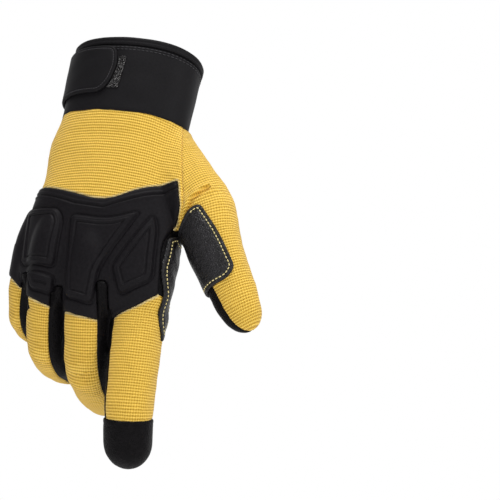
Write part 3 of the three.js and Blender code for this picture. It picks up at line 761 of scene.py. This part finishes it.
# A piece from a skin: its outer face at the given heights, its inner face at low, and the rim between
def makePiece(name, values, triangles, high, low, finish, nodes=(), weave=None):
    points, normals = values["p"], unit(values["n"])
    count = len(points)
    outer = points + normals * np.asarray(high)[:, None]
    inner = points + normals * (low if np.ndim(low) == 0 else low[:, None])
    rim = rimEdges(triangles)
    side = np.vstack([
        np.column_stack([rim[:, 1], rim[:, 0], rim[:, 0] + count]),
        np.column_stack([rim[:, 1], rim[:, 0] + count, rim[:, 1] + count]),
    ])
    faces = np.vstack([triangles, triangles[:, ::-1] + count, side])
    made = newObject(name, np.vstack([outer, inner]), faces)
    if weave is not None:
        layer = made.data.attributes.new("weave", "FLOAT_VECTOR", "POINT")
        # The knit is lightened in a line beside the pad: a painted highlight along its edge
        paintedEdgeHighlight = 0.8 * ridge(-values["in_knuckle_pad"], 0.45, 0.4)  # a light line beside the pad
        both = np.column_stack([weave[0], weave[1], paintedEdgeHighlight])
        layer.data.foreach_set("vector", np.vstack([both, both]).ravel())
    return declare(made, finish, nodes)


# A closed band round the cuff from a loop of heights above the cuff's surface and levels
def makeBand(name, loop, finish, nodes, shake=0):
    sides = 360
    rings = [cuffRing(z, grow, sides) for grow, z in loop]
    points = np.vstack(rings)
    away = unit(points * [1, 1, 0])
    points = points + away * (shake * uneven(points, 16, 5))[:, None]
    faces = []
    for k in range(len(rings)):
        after = (k + 1) % len(rings)
        for i in range(sides):
            j = (i + 1) % sides
            faces.append((k * sides + i, after * sides + i, after * sides + j, k * sides + j))
    return declare(newObject(name, points, faces), finish, nodes)


# Geometry Nodes that lay one bead of thread on each point of a stitch line
def stitchTree(name):
    tree = bpy.data.node_groups.new(name, "GeometryNodeTree")
    tree.interface.new_socket("Geometry", in_out="INPUT", socket_type="NodeSocketGeometry")
    tree.interface.new_socket("Length", in_out="INPUT", socket_type="NodeSocketFloat")
    tree.interface.new_socket("Thickness", in_out="INPUT", socket_type="NodeSocketFloat")
    tree.interface.new_socket("Thread", in_out="INPUT", socket_type="NodeSocketMaterial")
    tree.interface.new_socket("Geometry", in_out="OUTPUT", socket_type="NodeSocketGeometry")
    given = add(tree, "NodeGroupInput")
    along = add(tree, "GeometryNodeInputNamedAttribute", {"Name": "along"}, data_type="FLOAT_VECTOR")
    out = add(tree, "GeometryNodeInputNamedAttribute", {"Name": "out"}, data_type="FLOAT_VECTOR")
    laid = add(tree, "FunctionNodeAlignRotationToVector", {"Vector": along.outputs["Attribute"]}, axis="X")
    stood = add(tree, "FunctionNodeAlignRotationToVector", {
        "Rotation": laid.outputs["Rotation"], "Vector": out.outputs["Attribute"],
    }, axis="Z", pivot_axis="X")
    size = add(tree, "ShaderNodeCombineXYZ", {
        "X": given.outputs["Length"], "Y": given.outputs["Thickness"], "Z": given.outputs["Thickness"],
    })
    bead = add(tree, "GeometryNodeMeshUVSphere", {"Segments": 8, "Rings": 6, "Radius": 0.5})
    smooth = add(tree, "GeometryNodeSetShadeSmooth", {0: bead.outputs["Mesh"]})
    dots = add(tree, "GeometryNodeInstanceOnPoints", {
        "Points": given.outputs["Geometry"], "Instance": smooth.outputs[0],
        "Rotation": stood.outputs["Rotation"], "Scale": size.outputs["Vector"],
    })
    real = add(tree, "GeometryNodeRealizeInstances", {"Geometry": dots.outputs["Instances"]})
    painted = add(tree, "GeometryNodeSetMaterial", {
        "Geometry": real.outputs["Geometry"], "Material": given.outputs["Thread"],
    })
    add(tree, "NodeGroupOutput", {"Geometry": painted.outputs["Geometry"]})
    return tree


stitches = stitchTree("stitches")


def makeStitches(name, lines, finish, pitch, length, thickness, lift, along=None):
    places, alongs, outs = stitchPlaces(lines, pitch, lift, along)
    source = newObject(name, places, [])
    for key, value in (("along", alongs), ("out", outs)):
        layer = source.data.attributes.new(key, "FLOAT_VECTOR", "POINT")
        layer.data.foreach_set("vector", value.ravel())
    modifier = source.modifiers.new("stitches", "NODES")
    modifier.node_group = stitches
    given = {"Length": length / 1000, "Thickness": thickness / 1000, "Thread": materials[finish]}
    for item in stitches.interface.items_tree:
        if item.in_out == "INPUT" and item.name in given:
            modifier[item.identifier] = given[item.name]
    bpy.context.view_layer.update()
    mesh = bpy.data.meshes.new_from_object(source.evaluated_get(bpy.context.evaluated_depsgraph_get()))
    source.modifiers.clear()
    source.data = mesh
    return declare(source, finish)


print("stage: hand skin")
limbs = {name: makeLimb(row) for name, row in limbTable.items()}
points, faces = palmSkin()
allPoints, allFaces = [points], list(faces)
for limb in limbs.values():
    more, moreFaces = limbSkin(limb)
    first = sum(len(p) for p in allPoints)
    allFaces += [tuple(i + first for i in f) for f in moreFaces]
    allPoints.append(more)
body = newObject("hand_body", np.vstack(allPoints), allFaces)
remesh = body.modifiers.new("voxels", "REMESH")
remesh.mode = "VOXEL"
remesh.voxel_size = voxelSize / 1000
bpy.context.view_layer.update()
p, triangles = readMesh(body)
bpy.data.objects.remove(body)
p = relaxed(p, triangles, smoothTimes)
values = {"p": p, "n": normalsOf(p, triangles)}
_, (values, triangles), _ = splitSkin(values, triangles, p[:, 2] + cuffHeight - underCuff)
print("skin points", len(values["p"]))

print("stage: panels")
# Where the panels end: shares of a finger's length, of its round tip or of the palm's depth, then mm
cuts = dict(
    wallStart=0.42, wallEnd=0.85, backEnd=0.4, tabDepth=0.25, cornerDepth=0.3, ownReach=1.2,
    capLength=26.6, capSlope=-0.02, capReach=2, thumbRoot=84, handBackEnd=105,
    thumbPatchDepth=8.2, palmPatchDepth=5.1, sidePatch=(27.6, 52),
)
p = values["p"]
x, y, z = p.T
shapes = {name: roundedOutline(rows, palmWidth, handLength) for name, rows in outlines.items()}
for name, limb in limbs.items():
    at = followLimb(limb, p)
    for key, value in at.items():
        values[f"{name}_{key}"] = value
    at["own"] = np.minimum(cuts["ownReach"] - at["off"], at["s"] + 1)
    limb["at"] = at


# The wall between two fingers: both their sides, the web at their roots and the tab over the pad
def sideWallField(near, far):
    parts = []
    for name, span in ((near, farSides[near]), (far, nearSides[far])):
        limb, at = limbs[name], limbs[name]["at"]
        start = cuts["wallStart"] * limb["length"]
        end = limb["total"] - cuts["wallEnd"] * limb["round"]
        parts.append(np.minimum.reduce([wedgeField(at, span), at["s"] - start, end - at["s"], at["own"]]))
    parts.append(boxField(p, *webs[f"{near}_{far}"]))
    tab = np.minimum(insideOf(shapes[f"tab_{near}_{far}"], x, z), cuts["tabDepth"] * palmDepth - y)
    values[f"tab_{near}_{far}"] = tab
    return np.maximum.reduce([*parts, tab])


# Each field is above zero where its panel may lie; a panel takes what those before it leave
fields = {}
tipLimb = limbs["index"]
tipAt = tipLimb["at"]
capFrom = tipLimb["total"] - cuts["capLength"]
capTilt = cuts["capSlope"] * tipAt["radius"] * np.sin(tipAt["angle"])
fields["index_tip_cap"] = np.minimum(tipAt["s"] - capFrom + capTilt, tipAt["own"] + cuts["capReach"])
for pair in webs:
    fields[f"side_wall_{pair}"] = sideWallField(*pair.split("_"))
padFront = np.minimum(insideOf(shapes["pad"], x, z), sideSeam - y)
padSide = np.minimum(insideOf(shapes["padCorner"], x, z), cuts["cornerDepth"] * palmDepth - y)
fields["knuckle_pad"] = np.maximum(padFront, padSide)
for name in fingerNames:
    limb = limbs[name]
    at = limb["at"]
    end = limb["total"] - cuts["backEnd"] * limb["round"] - at["s"]
    start = at["s"] - backStart.get(name, -1)
    own = at["own"] + backReach.get(name, 0)
    fields[f"{name}_back"] = np.minimum.reduce([wedgeField(at, backPanels[name]), start, end, own])
thumbAt = limbs["thumb"]["at"]
fields["thumb_back"] = np.minimum.reduce([
    wedgeField(thumbAt, thumbPanel), insideOf(shapes["thumbBack"], x, z),
    np.maximum(thumbAt["own"], z + cuts["thumbRoot"]),
])
fields["hand_back"] = np.minimum(sideSeam - y, z + cuts["handBackEnd"])
for key in padCells:
    values[key] = insideOf(shapes[key], x, z)
values["thumbPatch"] = np.minimum(insideOf(shapes["thumbPatch"], x, z), cuts["thumbPatchDepth"] - y)
values["palmPatch"] = np.minimum(insideOf(shapes["palmPatch"], x, z), y - cuts["palmPatchDepth"])
sideShape = roundedOutline(sidePatchOutline, palmDepth, handLength)
sideFrom, sideTo = cuts["sidePatch"]
values["sidePatch"] = np.minimum.reduce([insideOf(sideShape, y, z), x - sideFrom, sideTo - x])
for key, field in fields.items():
    values[f"in_{key}"] = field

# Soft folds over the skin: places of a line seen from the back, depth and width
folds = [
    dict(line=[(59, -82), (56, -86), (52.5, -90), (51, -97), (49, -106)], depth=3, width=1.1),
    dict(line=[(44, -60), (47, -72), (48, -84)], depth=0.5, width=2.6),
    dict(line=[(36, -78), (43, -84), (50, -88)], depth=0.45, width=2),
    dict(line=[(-30, -56), (-8, -59), (18, -56)], depth=0.35, width=3.2),
]

# Soft unevenness of the cloth, and the creases at each joint of a finger: place beside it and depth
softness = dict(
    size=17, fineSize=7, fineShare=0.35, back=(-0.4, 0.1), foldSwell=0.25,
    creases=[(0, 0.9), (-3.4, 0.4), (3.4, 0.4)], creaseWidth=1.1, creaseReach=2.5, inner=(0.2, 0.9),
)


# Folds of the back, creases on the inner side of each finger's joints, and soft unevenness
def dents(part, amount):
    p = part["p"]
    height = amount * uneven(p, softness["size"], 3)
    height += softness["fineShare"] * amount * uneven(p, softness["fineSize"], 4)
    back = rise(-unit(part["n"])[:, 1], *softness["back"])
    for fold in folds:
        gap = lineDistance(fold["line"], p[:, 0], p[:, 2])
        swell = softness["foldSwell"] * ridge(gap, 2 * fold["width"], fold["width"])
        height -= fold["depth"] * back * (ridge(gap, 0, fold["width"]) - swell)
    for name in fingerNames:
        inner = rise(-np.sin(part[f"{name}_angle"]), *softness["inner"])
        inner = inner * (part[f"{name}_off"] < softness["creaseReach"])
        for mark in limbs[name]["marks"][2:-1]:
            for shift, depth in softness["creases"]:
                height -= depth * inner * ridge(part[f"{name}_s"], mark + shift, softness["creaseWidth"])
    return height


pieces = {}
rest = (values, triangles)
before = []
for key in fields:
    within, rest, _ = splitSkin(*rest, rest[0][f"in_{key}"])
    part = within[0]
    seam = np.minimum.reduce([part[f"in_{key}"], *[-part[f"in_{other}"] for other in before]])
    part["seam"] = np.maximum(seam, 0)
    pieces[key] = within
    before.append(key)
part = rest[0]
part["seam"] = np.maximum(np.minimum.reduce([-part[f"in_{other}"] for other in before]), 0)
pieces["palm"] = rest

print("stage: knit backs")
# The knit's edge is rolled in at the seam, with a low swelling beside it; its rows run across the hand
knitCloth = dict(
    unevenness=0.22, edge=(1.5, 0.55), swelling=0.12, swellingAt=(2.2, 0.9), thinnest=6, thickest=30,
    handRows=0.89, handSag=0.0014,
)


def knitHeight(part):
    seam = part["seam"]
    height = dents(part, knitCloth["unevenness"]) + rolled(seam, *knitCloth["edge"])
    return height + knitCloth["swelling"] * ridge(seam, *knitCloth["swellingAt"])


for name in [*fingerNames, "thumb"]:
    part, faces = pieces[f"{name}_back"]
    radius = np.clip(part[f"{name}_radius"], knitCloth["thinnest"], knitCloth["thickest"])
    weave = (part[f"{name}_angle"] * radius, part[f"{name}_s"])
    makePiece(f"{name}_back_knit", part, faces, knitHeight(part), -wallThick, "knit", [f"{name}_back"], weave)
part, faces = pieces["hand_back"]
across, down = part["p"][:, 0], part["p"][:, 2]
weave = (across, knitCloth["handRows"] * down + knitCloth["handSag"] * across**2)
makePiece("hand_back_knit", part, faces, knitHeight(part), -wallThick, "knit", ["hand_back"], weave)

print("stage: knuckle pad")
# The moulded pad; each ridge or groove is a place, a width and a height beside the top line or a cell
padRelief = dict(
    swell=1.2, edge=(1.7, 1.1), unevenness=0.1, unevenSize=22,
    topLine=[(-60, -83), (-35, -88), (-10, -94.5), (5, -95.6), (24.8, -86.5), (44, -79)],
    topRidges=[(4.4, 0.5, -0.75), (5.7, 0.7, 0.35), (3.2, 0.6, 0.25)],
    cellHeight=1.1, cellEdge=(-0.3, 0.9),
    cellRidges=[(-0.9, 0.55, -0.8), (3.4, 0.45, -0.65), (2.5, 0.5, 0.3)],
)
part, faces = pieces["knuckle_pad"]
part, faces = finer(part, faces)
height = padRelief["swell"] + rolled(part["seam"], *padRelief["edge"])
height += padRelief["unevenness"] * uneven(part["p"], padRelief["unevenSize"], 8)
topGap = lineDistance(padRelief["topLine"], part["p"][:, 0], part["p"][:, 2])
for place, width, high in padRelief["topRidges"]:
    height += high * ridge(topGap, place, width)
for key in padCells:
    height += padRelief["cellHeight"] * rise(part[key], *padRelief["cellEdge"])
    for place, width, high in padRelief["cellRidges"]:
        height += high * ridge(part[key], place, width)
knucklePad = makePiece("knuckle_pad_moulded", part, faces, height, -wallThick, "pad", ["knuckle_pad"])

print("stage: leather")
capLeather = dict(swell=0.7, edge=(1.3, 0.6), groove=0.2, grooveAt=(2.6, 0.5), unevenness=0.2, dentShare=0.5)
part, faces = pieces["index_tip_cap"]
height = capLeather["swell"] + rolled(part["seam"], *capLeather["edge"])
height -= capLeather["groove"] * ridge(part["seam"], *capLeather["grooveAt"])
height += capLeather["dentShare"] * dents(part, capLeather["unevenness"])
makePiece("index_tip_leather", part, faces, height, -wallThick, "leather", ["index_tip_cap"])

# A tab lies on the pad and sinks toward its lower end
wallLeather = dict(
    edge=(1.2, 0.5), unevenness=0.15, tabHeight=2.2,
    tabEdge=(-0.2, 0.7), tabBack=(-4, 2), tabEnd=(-161, -149),
)
for pair in webs:
    part, faces = pieces[f"side_wall_{pair}"]
    overPad = rise(-part["p"][:, 1], *wallLeather["tabBack"])
    overPad *= rise(part[f"tab_{pair}"], *wallLeather["tabEdge"])
    overPad *= rise(part["p"][:, 2], *wallLeather["tabEnd"])
    height = rolled(part["seam"], *wallLeather["edge"])
    height += dents(part, wallLeather["unevenness"]) + wallLeather["tabHeight"] * overPad
    makePiece(f"side_leather_{pair}", part, faces, height, -wallThick, "leather", [f"side_wall_{pair}"])

palmLeather = dict(edge=(1.3, 0.5), unevenness=0.28)
part, faces = pieces["palm"]
height = rolled(part["seam"], *palmLeather["edge"]) + dents(part, palmLeather["unevenness"])
makePiece("palm_leather", part, faces, height, -wallThick, "leather", ["palm"])

print("stage: patches")
# Patches: thickness, the stitches' inset, their pitch, length, thickness and lift, the height and
# size of soft folds, and the line that the thumb patch's stitches keep to
patchTable = {
    "palm_patch": dict(
        field="palmPatch", thick=1.5, inset=2.3, thread=(2.9, 2.2, 0.6, 0.12), soft=0.15, fold=9,
        finish="leather",
    ),
    "thumb_patch": dict(
        field="thumbPatch", thick=1.4, inset=2.1, thread=(2.1, 1.6, 0.6, 0.12), soft=0.25, fold=12,
        finish="softLeather",
        along=dict(within=3.3, line=[
            (53, -95), (57, -92.3), (69, -105.8), (80.5, -123.8), (77.7, -130.2),
            (67.2, -136.5), (59.8, -138),
        ]),
    ),
    "side_patch": dict(
        field="sidePatch", thick=1.3, inset=2.1, thread=(2.1, 1.5, 0.6, 0.12), soft=0.225, fold=8,
        finish="softLeather",
    ),
}
patchSewing = dict(
    inner=0.1, base=0.3, edge=(1.2, 0.8), groove=0.35, grooveWidth=0.7, padGap=0.6, patchGap=0.4,
)
patchGap = patchSewing["patchGap"]
besidePad = -values["in_knuckle_pad"] - patchSewing["padGap"]
besideTabs = [-values[f"tab_{pair}"] - patchGap for pair in webs]
for name, row in patchTable.items():
    field = np.minimum.reduce([values[row["field"]], besidePad, *besideTabs])
    if name == "side_patch":
        field = np.minimum.reduce([field, -values["palmPatch"] - patchGap, -values["thumbPatch"] - patchGap])
    values["patchEdge"] = field
    (part, faces), _, _ = splitSkin(values, triangles, field)
    part, faces = finer(part, faces)
    edge = np.maximum(part["patchEdge"], 0)
    height = patchSewing["base"] + row["thick"] + rolled(edge, *patchSewing["edge"])
    height -= patchSewing["groove"] * ridge(edge, row["inset"], patchSewing["grooveWidth"])
    height += row["soft"] * uneven(part["p"], row["fold"], 11)
    piece = makePiece(f"{name}_leather", part, faces, height, patchSewing["inner"], row["finish"], [name])
    lifted = {**part, "p": part["p"] + unit(part["n"]) * height[:, None]}
    lines = contours(lifted, faces, part["patchEdge"] - row["inset"])
    makeStitches(f"{name}_stitches", lines, "yellowThread", *row["thread"], row.get("along"))

print("stage: cuff")
# Sections of the cuff and its hem: how far off the cuff's surface, and how high
cuffShake = 0.12  # the bands' soft unevenness
hemGap = 0.2
top, bottom = -hemHeight - hemGap, -cuffHeight
levels = np.linspace(top, bottom + 1, 30)
loop = [(-0.5, top + 0.05), *[(0, level) for level in levels[1:]]]
loop += [(-0.3, bottom + 0.3), (-0.9, bottom), (-2, bottom + 0.1)]
loop += [(-cuffWall, level) for level in levels[::-3]]
makeBand("cuff_neoprene", loop[::-1], "neoprene", ["cuff"], cuffShake)
hemLoop = [
    (-0.2, -hemHeight), (0.4, -hemHeight + 0.5), (0.5, -3.2), (0.25, -2.7), (0.5, -2.2), (0.5, -1),
    (0.1, -0.3), (-0.8, 0.1), (-1.8, 0.1), (-2.7, -0.3), (-3, -1), (-3, -hemHeight + 0.5), (-2.4, -hemHeight),
]
makeBand("cuff_hem_binding", hemLoop[::-1], "neoprene", ["cuff_hem"], cuffShake)

# A fine skin of the cuff, from which the strap and the loop strip are cut
cuffSides, cuffRows, cuffSkinTop = 720, 90, -4.2
cuffPoints = np.vstack([cuffRing(z, 0, cuffSides) for z in np.linspace(cuffSkinTop, -cuffHeight, cuffRows)])
grid = np.arange(cuffSides * cuffRows).reshape(cuffRows, cuffSides)
ahead = np.roll(grid, -1, axis=1)
a, b, c, d = grid[:-1].ravel(), ahead[:-1].ravel(), ahead[1:].ravel(), grid[1:].ravel()
cuffFaces = np.vstack([np.column_stack([a, d, c]), np.column_stack([a, c, b])])
cuffNormals = normalsOf(cuffPoints, cuffFaces)
if (cuffNormals * cuffPoints * [1, 1, 0]).sum() < 0:
    cuffFaces, cuffNormals = cuffFaces[:, ::-1], -cuffNormals
cuffSkin = {"p": cuffPoints, "n": cuffNormals}


# An outline given in millimetres, with z upwards
def plainOutline(rows):
    return roundedOutline([(a, -b, c) for a, b, c in rows], 1, 1)


print("stage: strap")
strapCloth = dict(
    thick=2.1, inner=0.3, edge=(1.1, 0.9), groove=0.3, grooveWidth=0.5, inset=1.9,
    unevenness=0.12, unevenSize=14, reach=8.5, thread=(1.5, 1.3, 0.5, 0.1),
)
u, v, w = cuffPoints.T
cuffSkin["strap"] = np.minimum(insideOf(plainOutline(strapOutline), u, w), strapCloth["reach"] - v)
(part, faces), _, _ = splitSkin(cuffSkin, cuffFaces, cuffSkin["strap"])
edge = np.maximum(part["strap"], 0)
height = strapCloth["thick"] + rolled(edge, *strapCloth["edge"])
height -= strapCloth["groove"] * ridge(edge, strapCloth["inset"], strapCloth["grooveWidth"])
height += strapCloth["unevenness"] * uneven(part["p"], strapCloth["unevenSize"], 21)
makePiece("strap_neoprene", part, faces, height, strapCloth["inner"], "neoprene", ["wrist_strap"])
lifted = {**part, "p": part["p"] + unit(part["n"]) * height[:, None]}
lines = contours(lifted, faces, part["strap"] - strapCloth["inset"])
makeStitches("strap_stitches", lines, "blackThread", *strapCloth["thread"])

loopPile = dict(thick=0.9, inner=0.1, edge=(0.8, 0.5), tuft=0.3, tuftEdge=(0, 0.6), strapGap=0.3, seed=7)
besideStrap = -cuffSkin["strap"] - loopPile["strapGap"]
cuffSkin["loops"] = np.minimum.reduce([insideOf(plainOutline(loopOutline), u, w), -v, besideStrap])
(part, faces), _, _ = splitSkin(cuffSkin, cuffFaces, cuffSkin["loops"])
edge = np.maximum(part["loops"], 0)
random = np.random.default_rng(loopPile["seed"])
tufts = random.uniform(-loopPile["tuft"], loopPile["tuft"], len(edge)) * rise(edge, *loopPile["tuftEdge"])
height = loopPile["thick"] + rolled(edge, *loopPile["edge"]) + tufts
makePiece("loop_pile", part, faces, height, loopPile["inner"], "loops", ["loop_strip"])

hemSewing = dict(levels={"upper": -6.2, "lower": -7.6}, thread=(2.4, 1.9, 0.4, 0.08))
for name, level in hemSewing["levels"].items():
    lines = contours(cuffSkin, cuffFaces, cuffPoints[:, 2] - level)
    makeStitches(f"hem_stitches_{name}", lines, "blackThread", *hemSewing["thread"])

print("stage: light and camera")
floorSettings = dict(colour="#f4f4f4", roughness=0.9, reach=3000, level=-420)
floorMaterial, tree = newMaterial("pale_floor")
finishMaterial(tree, {"Base Color": linear(floorSettings["colour"]), "Roughness": floorSettings["roughness"]})
far, level = floorSettings["reach"], floorSettings["level"]
corners = [(-far, -far, level), (far, -far, level), (far, far, level), (-far, far, level)]
floor = newObject("floor", corners, [(0, 1, 2, 3)])
floor.data.materials.append(floorMaterial)
floor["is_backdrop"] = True

# White behind the glove, and dim in front of it so that black stays black
studio = dict(dimFrom=-0.1, whiteFrom=0.45, dim=0.2, white=1)
world = bpy.data.worlds.new("studio")
bpy.context.scene.world = world
world.use_nodes = True
tree = world.node_tree
background = tree.nodes["Background"]
background.inputs["Color"].default_value = (1, 1, 1, 1)
side = add(tree, "ShaderNodeSeparateXYZ", {0: add(tree, "ShaderNodeTexCoord").outputs["Generated"]})
strength = add(tree, "ShaderNodeMapRange", {
    "Value": side.outputs["Y"], "From Min": studio["dimFrom"], "From Max": studio["whiteFrom"],
    "To Min": studio["dim"], "To Max": studio["white"],
})
tree.links.new(strength.outputs["Result"], background.inputs["Strength"])
bpy.context.scene.view_settings.view_transform = "Standard"

# Soft boxes: place and size in metres, power in watts
lights = {
    "key": dict(place=(-0.1, -0.7, 1.1), size=0.7, power=15.5),
    "rim": dict(place=(0.9, -0.4, 0.3), size=0.5, power=3.5),
    "low": dict(place=(0.5, -0.9, -0.35), size=0.6, power=2.5),
}
aim = np.array([0.02, 0, -0.12])


# The turn that points an object's -Z along a direction
def aimed(direction, roll=0):
    forward = unit(np.array(direction, float))
    right = unit(np.cross(forward, [0, 0, 1]))
    up = np.cross(right, forward)
    c, s = math.cos(math.radians(roll)), math.sin(math.radians(roll))
    return np.column_stack([c * right + s * up, c * up - s * right, -forward])


def addToScene(name, data, turn, place):
    made = bpy.data.objects.new(name, data)
    bpy.context.collection.objects.link(made)
    made.matrix_world = Matrix([[*turn[k], place[k]] for k in range(3)] + [[0, 0, 0, 1]])
    return made


for name, row in lights.items():
    data = bpy.data.lights.new(name, "AREA")
    data.size = row["size"]
    data.energy = row["power"]
    addToScene(name, data, aimed(aim - np.array(row["place"])), row["place"])

cameraView = dict(
    azimuth=14.645, elevation=-21.569, roll=10.5, distance=0.62, lens=85.07, sensor=36,
    target=(0.085, 0, -0.11066),
)
azimuth, elevation = math.radians(cameraView["azimuth"]), math.radians(cameraView["elevation"])
away = np.array([
    math.sin(azimuth) * math.cos(elevation), -math.cos(azimuth) * math.cos(elevation), math.sin(elevation),
])
place = np.array(cameraView["target"]) + away * cameraView["distance"]
data = bpy.data.cameras.new("camera")
data.lens = cameraView["lens"]
data.sensor_width = cameraView["sensor"]
bpy.context.scene.camera = addToScene("camera", data, aimed(-away, cameraView["roll"]), place)

print("stage: finish")
low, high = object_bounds()
